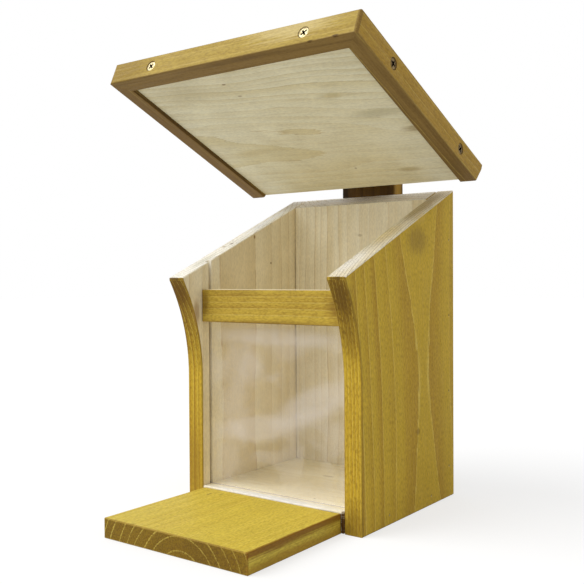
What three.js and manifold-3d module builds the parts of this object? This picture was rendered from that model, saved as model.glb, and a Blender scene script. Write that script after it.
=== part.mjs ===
// A squirrel feeder box: a wooden box with a sliding clear window, a feeding board in front
// and a hinged lid, carried by a batten that fixes it to a wall or a tree.
// Millimetres, +Z up. The origin is the middle of the box's underside, -Y is the front.
// The pieces are drawn with Y 0 on the box's front plane, and the last lines move them back.
import * as THREE from "three";
import { RoundedBoxGeometry } from "three/addons/geometries/RoundedBoxGeometry.js";
import { mergeVertices } from "three/addons/utils/BufferGeometryUtils.js";
import Module from "manifold-3d";

const wasm = await Module();
wasm.setup();

// Fits and edges shared by the whole box
const glueGap = 0.1; // between boards glued or nailed face to face
const seatGap = 0.3; // between the pieces of the turned lid, and under what rests on a sloping face
const fastenerGap = 0.3; // all round a screw, a brad or a dowel in its hole
const edgeEase = 0.8; // sanded edges of the boards
const cutOverrun = 5; // how far a cutting solid runs past the piece

// The box
const boxWidth = 160;
const boxDepth = 140;
const rearHeight = 245;
const sideThickness = 15;
const backThickness = 18;
const floorThickness = 15;
const roofSlope = THREE.MathUtils.degToRad(23.25);
const flareReach = 20.5; // how far the top of the side panels comes forward
const flareRise = 74; // height over which the front edge curves forward
const flareNose = 2; // short blunt nose at the tip of the flare
const flareArcSteps = 14;

// The window and its grooves, and the rail in front of it
const windowThickness = 2.5;
const windowBelowRailTop = 4;
const windowEase = 0.4;
const windowEdgeGap = 0.5; // at each upright edge, to the bottom of the groove
const grooveWidth = 3.3;
const grooveDepth = 4;
const grooveFront = 8; // from the front plane to the groove
const railHeight = 25;
const railThickness = 7.5;
const railBelowTip = 9; // from the tips of the side panels down to the top of the rail

// The feeding board
const trayWidth = 126;
const trayLength = 101;
const trayThickness = 14;
const dowelRadius = 4;
const dowelLength = 40;
const dowelChamfer = 1;
const dowelFromTraySide = 28;

// The batten behind the box
const battenWidth = 52;
const battenThickness = 15;
const battenAboveBack = 55; // how far it stands above the back panel
const hangingHoleRadius = 3;
const hangingHoleFromTop = 12;

// The lid, measured along its own slope
const lidThickness = 14;
const lidBarWidth = 13.3;
const lidBarHeight = 17;
const lidSideClearance = 16; // from the box's sides to the side bars
const lidFrontClearance = 5; // from the tips of the side panels to the front bar
const lidRearClearance = 6; // from the batten to the rear end of the closed lid
const lidOpening = THREE.MathUtils.degToRad(46.5); // from closed to the pose modelled here

// The butt hinge
const hingeLength = 40;
const hingeLeafWidth = 19;
const hingeSheet = 1.5;
const hingePinRadius = 1.5;
const hingeRunningGap = 0.08; // between the pin and the knuckles
const hingeKnuckles = 5;
const hingeKnuckleGap = 0.25;
const hingeNotchGap = 0.5; // from a knuckle to the notch of the other leaf
const hingeLeafCorner = 2;
const hingePinHeadRadius = 2.4;
const hingePinHeadHeight = 1.1;
const hingeHoleFromEnd = 8;
const hingeHoleFromEdge = 7;

// Fasteners
const lidScrew = { headRadius: 4, shankRadius: 2, tipRadius: 0.5, length: 35, tip: 5, recess: 1.8 };
const battenScrew = { headRadius: 4, shankRadius: 2, tipRadius: 0.5, length: 29, tip: 5, recess: 1.8 };
const hingeScrew = { headRadius: 2.6, shankRadius: 1.3, tipRadius: 0.4, length: 12, tip: 3, recess: 1.2 };
const woodScrewSink = 0.4; // head below the face of the wood
const screwTurn = 0.7; // radians between the cross recesses of one screw and the next
const recessArmShare = 0.55; // half the width across a cross recess, of the head's radius
const recessSlotShare = 0.13; // half the width of one arm, of the head's radius
const headRimShare = 0.08; // height of a countersunk head's upright rim, of its radius
const bradRadius = 0.7;
const bradLength = 32;
const bradTip = 2;
const bradTipRadius = 0.2;
const lidScrewFromCorner = 41.3; // front bar
const lidScrewFromFront = 45; // side bars, the front screw
const lidScrewFromPin = 44.5; // side bars, the rear screw
const battenScrewLowest = 40;
const battenScrewBelowTop = 35; // the highest one, from the top of the back panel
const battenScrewCount = 3;
const bradLowest = 25;
const bradBelowTop = 40; // the highest one, from the top of the back panel
const bradCount = 4;
const floorBradFromFront = 36;
const floorBradFromBack = 22; // from the back panel
const roundSteps = 16;
const barrelSteps = 24;

// Places worked out from those sizes
const innerHalfWidth = boxWidth / 2 - sideThickness;
const backFace = boxDepth - backThickness;
const roofTangent = Math.tan(roofSlope);
const roofHeightAt = (y) => rearHeight - (boxDepth - y) * roofTangent;
const tipHeight = roofHeightAt(-flareReach);
const railTop = tipHeight - railBelowTip;
const windowFoot = floorThickness + glueGap;
const battenHeight = rearHeight + battenAboveBack;
const barrelRadius = hingePinRadius + hingeRunningGap + hingeSheet;
const pinToWood = barrelRadius + seatGap;
const pinY = boxDepth - pinToWood;
const pinAboveRoof = seatGap + lidThickness + pinToWood;
const pinZ = rearHeight - pinToWood * roofTangent + pinAboveRoof / Math.cos(roofSlope);

// Lid coordinates: the origin is on the hinge pin, -Y runs to the front and +Z is square to the lid
const lidTop = -pinToWood;
const lidPanelBottom = lidTop - lidThickness;
const lidBarBottom = lidTop - lidBarHeight;
const tipFromPin =
  (pinY + flareReach) * Math.cos(roofSlope) + (pinZ - tipHeight) * Math.sin(roofSlope);
const lidBarInner = -(tipFromPin + lidFrontClearance);
const lidFront = lidBarInner - lidBarWidth;
const lidBarInnerX = boxWidth / 2 + lidSideClearance;
const lidHalfWidth = lidBarInnerX + lidBarWidth;
const knuckleLength = hingeLength / hingeKnuckles;
const lidRearAt = (z) =>
  (pinToWood - lidRearClearance + z * Math.sin(roofSlope)) / Math.cos(roofSlope);

const lidRearUncut = lidRearAt(lidTop) + edgeEase;

const pine = { color: 0xcdbf96, roughness: 0.75, metalness: 0 };
const stained = { color: 0xa8892f, roughness: 0.6, metalness: 0 };
const clearSheet = { color: 0xe8eef0, roughness: 0.08, metalness: 0 };
const zincSteel = { color: 0xb9b4a6, roughness: 0.35, metalness: 0.9 };
const brassPlate = { color: 0xc9a552, roughness: 0.35, metalness: 0.9 };
const beech = { color: 0xc8a878, roughness: 0.7, metalness: 0 };

// A closed geometry becomes a solid that can be cut and joined
function toSolid(geometry) {
  const bare = geometry.clone();
  bare.deleteAttribute("normal");
  bare.deleteAttribute("uv");
  const merged = mergeVertices(bare);
  const vertProperties = new Float32Array(merged.attributes.position.array);
  const triVerts = new Uint32Array(merged.index.array);
  return new wasm.Manifold(new wasm.Mesh({ numProp: 3, vertProperties, triVerts }));
}

function toGeometry(solid) {
  const mesh = solid.getMesh();
  const geometry = new THREE.BufferGeometry();
  geometry.setAttribute("position", new THREE.BufferAttribute(mesh.vertProperties, 3));
  geometry.setIndex(new THREE.BufferAttribute(mesh.triVerts, 1));
  const faceted = geometry.toNonIndexed();
  faceted.computeVertexNormals();
  return faceted;
}

function named(name, geometry, finish) {
  const mesh = new THREE.Mesh(geometry, new THREE.MeshStandardMaterial(finish));
  mesh.name = name;
  return mesh;
}

// A board between two opposite corners, with its edges sanded
function board(from, to, ease) {
  const size = new THREE.Vector3().subVectors(to, from);
  const centre = new THREE.Vector3().addVectors(from, to).multiplyScalar(1 / 2);
  const geometry = new RoundedBoxGeometry(size.x, size.y, size.z, 1, ease);
  return geometry.translate(centre.x, centre.y, centre.z);
}

// A plain block between two opposite corners, for cutting
function block(from, to) {
  const size = new THREE.Vector3().subVectors(to, from);
  const centre = new THREE.Vector3().addVectors(from, to).multiplyScalar(1 / 2);
  return new THREE.BoxGeometry(size.x, size.y, size.z).translate(centre.x, centre.y, centre.z);
}

// An outline drawn in (Y, Z) and run along X between two places, with its edges sanded
function alongX(outline, fromX, toX, ease) {
  const geometry = new THREE.ExtrudeGeometry(outline, {
    depth: toX - fromX - 2 * ease,
    bevelEnabled: ease > 0,
    bevelThickness: ease,
    bevelSize: ease,
    bevelOffset: -ease,
    bevelSegments: 1,
    curveSegments: barrelSteps / 2,
  });
  geometry.rotateY(Math.PI / 2);
  geometry.rotateX(Math.PI / 2);
  return geometry.translate(fromX + ease, 0, 0);
}

// A profile of (radius, height) points turned about an axis that starts at a place and runs
// towards a direction, where the profile's height grows
function turned(points, place, direction, steps) {
  const geometry = new THREE.LatheGeometry(points.map(([r, h]) => new THREE.Vector2(r, h)), steps);
  const turn = new THREE.Quaternion().setFromUnitVectors(new THREE.Vector3(0, 1, 0), direction);
  geometry.applyQuaternion(turn);
  return geometry.translate(place.x, place.y, place.z);
}

// A countersunk screw with a cross recess: the place is the middle of the head's flat face, and
// the direction is the way it goes into the wood
function screwProfile(size, gap) {
  const head = size.headRadius + gap;
  const shank = size.shankRadius + gap;
  const rim = size.headRadius * headRimShare;
  const end = size.length + gap;
  return { head, shank, rim, cone: rim + head - shank, end };
}

function screwGeometry(size, place, direction, turn) {
  const { head, shank, rim, cone, end } = screwProfile(size, 0);
  const points = [
    [0, 0],
    [head, 0],
    [head, rim],
    [shank, cone],
    [shank, end - size.tip],
    [size.tipRadius, end],
    [0, end],
  ];
  const body = toSolid(turned(points, place, direction, roundSteps));
  const arms = [0, 1].map((i) => recessArm(size, place, direction, turn + (i * Math.PI) / 2));
  return toGeometry(cutAll(body, arms));
}

function recessArm(size, place, direction, turn) {
  const length = 2 * size.headRadius * recessArmShare;
  const width = 2 * size.headRadius * recessSlotShare;
  const arm = new THREE.BoxGeometry(length, size.recess + cutOverrun, width);
  arm.translate(0, (size.recess - cutOverrun) / 2, 0);
  arm.rotateY(turn);
  const aim = new THREE.Quaternion().setFromUnitVectors(new THREE.Vector3(0, 1, 0), direction);
  arm.applyQuaternion(aim);
  return toSolid(arm.translate(place.x, place.y, place.z));
}

// The hole that a screw needs, open past the head
function screwHole(size, place, direction) {
  const { head, shank, rim, cone, end } = screwProfile(size, fastenerGap);
  const points = [
    [0, -cutOverrun],
    [head, -cutOverrun],
    [head, rim],
    [shank, cone],
    [shank, end],
    [0, end],
  ];
  return toSolid(turned(points, place, direction, roundSteps));
}

function bradGeometry(place, direction) {
  const points = [
    [0, 0],
    [bradRadius, 0],
    [bradRadius, bradLength - bradTip],
    [bradTipRadius, bradLength],
    [0, bradLength],
  ];
  return turned(points, place, direction, roundSteps / 2);
}

function bradHole(place, direction) {
  const radius = bradRadius + fastenerGap;
  const points = [
    [0, -cutOverrun],
    [radius, -cutOverrun],
    [radius, bradLength + fastenerGap],
    [0, bradLength + fastenerGap],
  ];
  return toSolid(turned(points, place, direction, roundSteps / 2));
}

function dowelGeometry(place) {
  const points = [
    [0, 0],
    [dowelRadius - dowelChamfer, 0],
    [dowelRadius, dowelChamfer],
    [dowelRadius, dowelLength - dowelChamfer],
    [dowelRadius - dowelChamfer, dowelLength],
    [0, dowelLength],
  ];
  return turned(points, place, new THREE.Vector3(0, 1, 0), roundSteps);
}

function dowelHole(place) {
  const radius = dowelRadius + fastenerGap;
  const points = [
    [0, -fastenerGap],
    [radius, -fastenerGap],
    [radius, dowelLength + fastenerGap],
    [0, dowelLength + fastenerGap],
  ];
  return toSolid(turned(points, place, new THREE.Vector3(0, 1, 0), roundSteps));
}

// Leaf screws sit in the leaf's face: on the batten the leaf stands up, on the lid it points forward
const leafFace = hingeSheet - barrelRadius;
const leafScrewRow = hingeLeafWidth - hingeHoleFromEdge;
const leafScrewX = hingeLength / 2 - hingeHoleFromEnd;
const leafScrews = () =>
  [-1, 1].map((side) => new THREE.Vector3(side * leafScrewX, leafScrewRow, leafFace));
const battenLeafScrews = () =>
  leafScrews().map(({ x, y, z }) => new THREE.Vector3(x, pinY - z, pinZ + y));
const lidLeafScrews = () => leafScrews().map(({ x, y, z }) => new THREE.Vector3(x, -y, z));

const cutAll = (solid, cutters) => cutters.reduce((left, cutter) => left.subtract(cutter), solid);

// Evenly spaced places from a lowest one to a highest one
const spread = (lowest, highest, count) =>
  Array.from({ length: count }, (unused, i) => lowest + ((highest - lowest) * i) / (count - 1));

// Where every brad, dowel and batten screw starts
function bradPlaces(side) {
  const outerX = (side * boxWidth) / 2;
  const backMiddle = backFace + backThickness / 2;
  return [
    ...spread(bradLowest, rearHeight - bradBelowTop, bradCount).map(
      (height) => new THREE.Vector3(outerX, backMiddle, height),
    ),
    ...[floorBradFromFront, backFace - floorBradFromBack].map(
      (y) => new THREE.Vector3(outerX, y, floorThickness / 2),
    ),
  ];
}

const inwards = (side) => new THREE.Vector3(-side, 0, 0);
const backward = new THREE.Vector3(0, 1, 0);
const forward = new THREE.Vector3(0, -1, 0);
const downward = new THREE.Vector3(0, 0, -1);

const allBradHoles = [-1, 1].flatMap((side) =>
  bradPlaces(side).map((place) => bradHole(place, inwards(side))),
);
const dowelX = trayWidth / 2 - dowelFromTraySide;
const dowelPlaces = [-1, 1].map(
  (side) => new THREE.Vector3(side * dowelX, -dowelLength / 2, trayThickness / 2),
);
const dowelHoles = dowelPlaces.map(dowelHole);
const battenScrewHeadY = boxDepth + battenThickness - woodScrewSink;
const battenScrewPlaces = spread(
  battenScrewLowest,
  rearHeight - battenScrewBelowTop,
  battenScrewCount,
).map((height) => new THREE.Vector3(0, battenScrewHeadY, height));
const battenScrewHoles = battenScrewPlaces.map((place) => screwHole(battenScrew, place, forward));

// Side panels: upright below, with a hollow curve that carries the front edge forward to a tip
function sideOutline() {
  const flareStart = tipHeight - flareNose - flareRise;
  const arcRadius = (flareRise ** 2 + flareReach ** 2) / (2 * flareReach);
  const outline = new THREE.Shape();
  outline.moveTo(boxDepth, 0);
  outline.lineTo(boxDepth, rearHeight);
  outline.lineTo(-flareReach, tipHeight);
  for (let i = 0; i <= flareArcSteps; i += 1) {
    const rise = flareRise * (1 - i / flareArcSteps);
    outline.lineTo(-(arcRadius - Math.sqrt(arcRadius ** 2 - rise ** 2)), flareStart + rise);
  }
  outline.lineTo(0, 0);
  outline.closePath();
  return outline;
}

function sidePanel(side) {
  const outerX = (side * boxWidth) / 2;
  const innerX = side * innerHalfWidth;
  const panel = alongX(sideOutline(), Math.min(outerX, innerX), Math.max(outerX, innerX), edgeEase);
  const grooveFloorX = side * (innerHalfWidth + grooveDepth);
  const openX = side * (innerHalfWidth - cutOverrun);
  const groove = block(
    new THREE.Vector3(Math.min(grooveFloorX, openX), grooveFront, -cutOverrun),
    new THREE.Vector3(Math.max(grooveFloorX, openX), grooveFront + grooveWidth, rearHeight),
  );
  return toGeometry(cutAll(toSolid(panel), [toSolid(groove), ...allBradHoles]));
}

// Back panel: its top edge is cut to the slope of the roof
function backPanel() {
  const outline = new THREE.Shape();
  outline.moveTo(backFace, 0);
  outline.lineTo(boxDepth, 0);
  outline.lineTo(boxDepth, rearHeight);
  outline.lineTo(backFace, roofHeightAt(backFace));
  outline.closePath();
  const halfWidth = innerHalfWidth - glueGap;
  const panel = alongX(outline, -halfWidth, halfWidth, edgeEase);
  return toGeometry(cutAll(toSolid(panel), [...allBradHoles, ...battenScrewHoles]));
}

function floorBoard() {
  const halfWidth = innerHalfWidth - glueGap;
  const panel = board(
    new THREE.Vector3(-halfWidth, 0, 0),
    new THREE.Vector3(halfWidth, backFace - glueGap, floorThickness),
    edgeEase,
  );
  return toGeometry(cutAll(toSolid(panel), [...allBradHoles, ...dowelHoles]));
}

function trayBoard() {
  const panel = board(
    new THREE.Vector3(-trayWidth / 2, -trayLength, 0),
    new THREE.Vector3(trayWidth / 2, -glueGap, trayThickness),
    edgeEase,
  );
  return toGeometry(cutAll(toSolid(panel), dowelHoles));
}

function frontRail() {
  const halfWidth = innerHalfWidth - glueGap;
  return board(
    new THREE.Vector3(-halfWidth, 0, railTop - railHeight),
    new THREE.Vector3(halfWidth, railThickness, railTop),
    edgeEase,
  );
}

function windowPane() {
  const halfWidth = innerHalfWidth + grooveDepth - windowEdgeGap;
  const front = grooveFront + (grooveWidth - windowThickness) / 2;
  return board(
    new THREE.Vector3(-halfWidth, front, windowFoot),
    new THREE.Vector3(halfWidth, front + windowThickness, railTop - windowBelowRailTop),
    windowEase,
  );
}

function wallBatten() {
  const panel = board(
    new THREE.Vector3(-battenWidth / 2, boxDepth + glueGap, 0),
    new THREE.Vector3(battenWidth / 2, boxDepth + battenThickness, battenHeight),
    edgeEase,
  );
  const holeTop = battenThickness + 2 * cutOverrun;
  const hangingHole = turned(
    [
      [0, 0],
      [hangingHoleRadius, 0],
      [hangingHoleRadius, holeTop],
      [0, holeTop],
    ],
    new THREE.Vector3(0, boxDepth - cutOverrun, battenHeight - hangingHoleFromTop),
    backward,
    barrelSteps,
  );
  const leafScrewHoles = battenLeafScrews().map((place) => screwHole(hingeScrew, place, backward));
  return toGeometry(
    cutAll(toSolid(panel), [toSolid(hangingHole), ...battenScrewHoles, ...leafScrewHoles]),
  );
}

// Lid: a panel framed on three sides by mitred bars that hang below its underside.
// Its rear end is upright when the lid is closed, so it slants here.
function lidRearWaste() {
  const low = lidBarBottom - cutOverrun;
  const high = lidTop + cutOverrun;
  const outline = new THREE.Shape();
  outline.moveTo(lidRearAt(low), low);
  outline.lineTo(lidRearAt(high) + cutOverrun, low);
  outline.lineTo(lidRearAt(high) + cutOverrun, high);
  outline.lineTo(lidRearAt(high), high);
  outline.closePath();
  const halfWidth = lidHalfWidth + cutOverrun;
  return toSolid(alongX(outline, -halfWidth, halfWidth, 0));
}

const lidScrewHeight = lidBarBottom + lidBarHeight / 2;
const frontScrewX = lidHalfWidth - lidScrewFromCorner;
const lidScrewPlaces = [
  ...[-1, 1].map((side) => ({
    place: new THREE.Vector3(side * frontScrewX, lidFront + woodScrewSink, lidScrewHeight),
    direction: backward,
  })),
  ...[-1, 1].flatMap((side) =>
    [lidFront + lidScrewFromFront, -lidScrewFromPin].map((y) => ({
      place: new THREE.Vector3(side * (lidHalfWidth - woodScrewSink), y, lidScrewHeight),
      direction: inwards(side),
    })),
  ),
];
const lidScrewHoles = () =>
  lidScrewPlaces.map(({ place, direction }) => screwHole(lidScrew, place, direction));

function lidPanel() {
  const halfWidth = lidBarInnerX - seatGap;
  const panel = block(
    new THREE.Vector3(-halfWidth, lidBarInner + seatGap, lidPanelBottom),
    new THREE.Vector3(halfWidth, lidRearUncut, lidTop),
  );
  const leafScrewHoles = lidLeafScrews().map((place) => screwHole(hingeScrew, place, downward));
  return toGeometry(
    cutAll(toSolid(panel), [lidRearWaste(), ...lidScrewHoles(), ...leafScrewHoles]),
  );
}

// What lies beyond the mitre of a front corner, seen from above: on the side bar's part of the
// corner, or on the front bar's part
function mitreWaste(side, keepFrontBar) {
  const shift = keepFrontBar ? 0 : seatGap * Math.SQRT2;
  const corner = new THREE.Vector2(side * lidHalfWidth, lidFront + shift);
  const reach = lidBarWidth + 2 * cutOverrun;
  const outline = new THREE.Shape();
  outline.moveTo(corner.x + side * cutOverrun, corner.y - cutOverrun);
  outline.lineTo(corner.x - side * reach, corner.y + reach);
  const far = keepFrontBar ? corner.y + reach : corner.y - cutOverrun;
  outline.lineTo(keepFrontBar ? corner.x + side * cutOverrun : corner.x - side * reach, far);
  outline.closePath();
  const waste = new THREE.ExtrudeGeometry(outline, {
    depth: lidBarHeight + 2 * cutOverrun,
    bevelEnabled: false,
  });
  return toSolid(waste.translate(0, 0, lidBarBottom - cutOverrun));
}

function lidFrontBar() {
  const bar = board(
    new THREE.Vector3(-lidHalfWidth, lidFront, lidBarBottom),
    new THREE.Vector3(lidHalfWidth, lidBarInner, lidTop),
    edgeEase,
  );
  const mitres = [-1, 1].map((side) => mitreWaste(side, true));
  return toGeometry(cutAll(toSolid(bar), [...mitres, ...lidScrewHoles()]));
}

function lidSideBar(side) {
  const bar = board(
    new THREE.Vector3(Math.min(side * lidBarInnerX, side * lidHalfWidth), lidFront, lidBarBottom),
    new THREE.Vector3(Math.max(side * lidBarInnerX, side * lidHalfWidth), lidRearUncut, lidTop),
    edgeEase,
  );
  return toGeometry(
    cutAll(toSolid(bar), [mitreWaste(side, false), lidRearWaste(), ...lidScrewHoles()]),
  );
}

// Hinge: a leaf is one sheet rolled round the pin. Its outline is drawn in (U, V), where U runs
// along the leaf from the pin and the wood lies at V -barrelRadius.
function leafOutline() {
  const meet = Math.sqrt(barrelRadius ** 2 - leafFace ** 2);
  const outline = new THREE.Shape();
  outline.moveTo(0, -barrelRadius);
  outline.lineTo(hingeLeafWidth, -barrelRadius);
  outline.lineTo(hingeLeafWidth, leafFace);
  outline.lineTo(meet, leafFace);
  outline.absarc(0, 0, barrelRadius, Math.atan2(leafFace, meet), (Math.PI * 3) / 2, false);
  const bore = new THREE.Path();
  bore.absarc(0, 0, hingePinRadius + hingeRunningGap, 0, 2 * Math.PI, true);
  outline.holes.push(bore);
  return outline;
}

// Room for the other leaf's knuckles: every second place along the pin, starting at the first one
function knuckleNotches(first) {
  const notches = [];
  const reach = barrelRadius + hingeNotchGap;
  for (let i = first; i < hingeKnuckles; i += 2) {
    const start = i * knuckleLength - hingeLength / 2;
    const fromX = i === 0 ? start - cutOverrun : start - hingeKnuckleGap / 2;
    const pastEnd = i === hingeKnuckles - 1 ? cutOverrun : hingeKnuckleGap / 2;
    notches.push(
      toSolid(
        block(
          new THREE.Vector3(fromX, -reach, -reach),
          new THREE.Vector3(start + knuckleLength + pastEnd, reach, reach),
        ),
      ),
    );
  }
  return notches;
}

// The leaf lies along +Y of its own frame, with the wood below it
function hingeLeaf(firstNotch) {
  const sheet = toSolid(alongX(leafOutline(), -hingeLength / 2, hingeLength / 2, 0));
  const holes = leafScrews().map((place) => screwHole(hingeScrew, place, downward));
  const corners = [-1, 1].map(leafCornerWaste);
  return toGeometry(cutAll(sheet, [...knuckleNotches(firstNotch), ...holes, ...corners]));
}

function leafCornerWaste(side) {
  const outline = new THREE.Shape();
  const cornerX = (side * hingeLength) / 2;
  outline.moveTo(cornerX + side * cutOverrun, hingeLeafWidth - hingeLeafCorner - cutOverrun);
  outline.lineTo(cornerX + side * cutOverrun, hingeLeafWidth + cutOverrun);
  outline.lineTo(cornerX - side * (hingeLeafCorner + cutOverrun), hingeLeafWidth + cutOverrun);
  outline.closePath();
  const waste = new THREE.ExtrudeGeometry(outline, { depth: 2 * barrelRadius, bevelEnabled: false });
  return toSolid(waste.translate(0, 0, -2 * barrelRadius));
}

// The pin runs through all knuckles and has a domed head at each end
function hingePin() {
  const innerEnd = hingeLength / 2 + hingeKnuckleGap;
  const outerEnd = innerEnd + hingePinHeadHeight;
  const halfProfile = [
    [hingePinRadius, innerEnd],
    [hingePinHeadRadius, innerEnd],
    [hingePinHeadRadius, innerEnd + hingePinHeadHeight / 3],
    [hingePinRadius, outerEnd],
  ];
  const mirrored = halfProfile.map(([radius, height]) => [radius, -height]).reverse();
  const points = [[0, -outerEnd], ...mirrored, ...halfProfile, [0, outerEnd]];
  return turned(points, new THREE.Vector3(0, pinY, pinZ), new THREE.Vector3(1, 0, 0), barrelSteps);
}

// The box with everything that is fixed to it
const feeder = new THREE.Group();
feeder.add(named("side_left", sidePanel(-1), stained));
feeder.add(named("side_right", sidePanel(1), stained));
feeder.add(named("back_panel", backPanel(), pine));
feeder.add(named("floor_board", floorBoard(), pine));
feeder.add(named("tray_board", trayBoard(), stained));
feeder.add(named("front_rail", frontRail(), stained));
feeder.add(named("window_pane", windowPane(), clearSheet));
feeder.add(named("wall_batten", wallBatten(), stained));
dowelPlaces.forEach((place, i) => {
  feeder.add(named(`tray_dowel_${i + 1}`, dowelGeometry(place), beech));
});
["left", "right"].forEach((label, i) => {
  const side = 2 * i - 1;
  bradPlaces(side).forEach((place, k) => {
    feeder.add(named(`brad_${label}_${k + 1}`, bradGeometry(place, inwards(side)), zincSteel));
  });
});
battenScrewPlaces.forEach((place, i) => {
  const screw = screwGeometry(battenScrew, place, forward, i * screwTurn);
  feeder.add(named(`batten_screw_${i + 1}`, screw, zincSteel));
});

const battenLeaf = named("hinge_leaf_batten", hingeLeaf(1), brassPlate);
battenLeaf.position.set(0, pinY, pinZ);
battenLeaf.rotation.x = Math.PI / 2;
feeder.add(battenLeaf);
feeder.add(named("hinge_pin", hingePin(), zincSteel));
battenLeafScrews().forEach((place, i) => {
  const screw = screwGeometry(hingeScrew, place, backward, i * screwTurn);
  feeder.add(named(`hinge_screw_batten_${i + 1}`, screw, zincSteel));
});

// The lid turns about the hinge pin
const lid = new THREE.Group();
lid.position.set(0, pinY, pinZ);
lid.rotation.x = roofSlope - lidOpening;
lid.add(named("lid_panel", lidPanel(), pine));
lid.add(named("lid_bar_front", lidFrontBar(), stained));
lid.add(named("lid_bar_left", lidSideBar(-1), stained));
lid.add(named("lid_bar_right", lidSideBar(1), stained));
const lidLeaf = named("hinge_leaf_lid", hingeLeaf(0), brassPlate);
lidLeaf.rotation.z = Math.PI;
lid.add(lidLeaf);
lidScrewPlaces.forEach(({ place, direction }, i) => {
  const screw = screwGeometry(lidScrew, place, direction, (i + 1) * screwTurn);
  lid.add(named(`lid_screw_${i + 1}`, screw, zincSteel));
});
lidLeafScrews().forEach((place, i) => {
  const screw = screwGeometry(hingeScrew, place, downward, i * screwTurn);
  lid.add(named(`hinge_screw_lid_${i + 1}`, screw, zincSteel));
});
feeder.add(lid);
feeder.position.y = -boxDepth / 2;

export default feeder;
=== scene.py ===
# %% [markdown]
# # A squirrel feeder box, dressed in Blender
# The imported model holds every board, screw and hinge leaf at its real size. It loads first and
# stays fixed: all that follows is set against it, in metres, with +Z up and -Y to the front.

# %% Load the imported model
import math

import bmesh
import bpy
from mathutils import Matrix, Quaternion, Vector


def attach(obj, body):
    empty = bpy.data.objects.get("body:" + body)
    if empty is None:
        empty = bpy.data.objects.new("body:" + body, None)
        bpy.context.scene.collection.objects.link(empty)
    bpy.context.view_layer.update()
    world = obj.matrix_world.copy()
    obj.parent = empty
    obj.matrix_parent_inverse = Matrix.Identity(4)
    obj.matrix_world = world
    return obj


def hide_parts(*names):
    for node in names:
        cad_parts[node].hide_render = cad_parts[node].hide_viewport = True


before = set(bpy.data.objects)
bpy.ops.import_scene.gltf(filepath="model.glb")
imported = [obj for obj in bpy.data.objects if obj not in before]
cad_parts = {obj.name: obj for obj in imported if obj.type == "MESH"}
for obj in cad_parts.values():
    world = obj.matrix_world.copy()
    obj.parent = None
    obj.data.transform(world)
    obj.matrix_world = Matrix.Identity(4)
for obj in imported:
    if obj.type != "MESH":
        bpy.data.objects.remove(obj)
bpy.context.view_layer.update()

MM = 0.001

# %% [markdown]
# ## Helpers
# A colour is written as on a paint card, as sRGB hex, but shaders count light, so one function
# turns it linear. A second one adds a node with its settings and its links and hands back the
# socket that carries the result, which keeps a long shader readable as a list of steps.

# %% Colour and node helpers
def linear(paint):
    """The linear RGBA of an sRGB hex colour, by the curve that defines sRGB."""
    levels = [int(paint[i : i + 2], 16) / 255 for i in (1, 3, 5)]
    return [v / 12.92 if v <= 0.04045 else ((v + 0.055) / 1.055) ** 2.4 for v in levels] + [1]


def add(tree, kind, feeds, out=0, **settings):
    """Adds one node, gives it its settings, feeds its sockets and returns an output socket."""
    node = tree.nodes.new(kind)
    for name, value in settings.items():
        setattr(node, name, value)
    for socket, value in feeds.items():
        if isinstance(value, bpy.types.NodeSocket):
            tree.links.new(value, node.inputs[socket])
        else:
            node.inputs[socket].default_value = value
    return node.outputs[out] if node.outputs else node


MATH = "ShaderNodeMath"
VECTOR = "ShaderNodeVectorMath"
RANGE = "ShaderNodeMapRange"
NOISE = "ShaderNodeTexNoise"
MAPPING = "ShaderNodeMapping"
ATTRIBUTE = "ShaderNodeAttribute"
PRINCIPLED = "ShaderNodeBsdfPrincipled"
MIX = "ShaderNodeMix"  # as a colour mix, its sockets 0, 6, 7 are the factor and the two colours
MIXED = 2  # and this is the colour that it gives out
print("linear value of a middle grey:", round(linear("#808080")[0], 3))

# %% [markdown]
# ## Camera
# The photograph was taken from the front right, at about the height of the window, and held a
# hair off level. The place, the aim and the focal length were worked out from the corners of
# the boards, so the camera isn't moved by eye afterwards.

# %% Camera
EYE = Vector((0.37417, -0.54636, 0.17531))
AIM = Vector((-0.02992, 0.0, 0.16398))
FOCAL_LENGTH_MM = 51.386
HELD_OFF_LEVEL = math.radians(-0.327)

camera = bpy.data.objects.new("camera", bpy.data.cameras.new("camera"))
camera.data.lens = FOCAL_LENGTH_MM
camera.location = EYE
level_view = (AIM - EYE).to_track_quat("-Z", "Y")
camera.rotation_euler = (level_view @ Quaternion((0, 0, 1), HELD_OFF_LEVEL)).to_euler()
bpy.context.scene.collection.objects.link(camera)
bpy.context.scene.camera = camera
bpy.context.scene.view_settings.view_transform = "Standard"
print("camera", [round(v / MM) for v in EYE], "mm from the middle of the box's foot")

# %% [markdown]
# ## Light
# The real box stood in a white studio tent: light from all sides, more of it from above and the
# front left, and white paper below that lights the underside of the lid. A pale world and one
# wide sun do the same. A sun doesn't fade with distance, so the paper is evenly white.

# %% One wide sun
KEY_FROM = Vector((-0.5, -0.5, 0.71))  # towards the lamp
KEY_LEVEL = 0.62
KEY_SPREAD = math.radians(50)
ON_A_FACE = math.pi  # a sun of this strength shows a face that looks at it in its own colour

key_light = bpy.data.objects.new("key_light", bpy.data.lights.new("key_light", "SUN"))
key_light.data.energy = KEY_LEVEL * ON_A_FACE
key_light.data.angle = KEY_SPREAD
key_light.rotation_euler = KEY_FROM.to_track_quat("Z", "Y").to_euler()
bpy.context.scene.collection.objects.link(key_light)
print("key level", KEY_LEVEL)

# %% White tent around the box
TENT_LEVEL = 0.62
WHITE = (1, 1, 1, 1)


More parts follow.
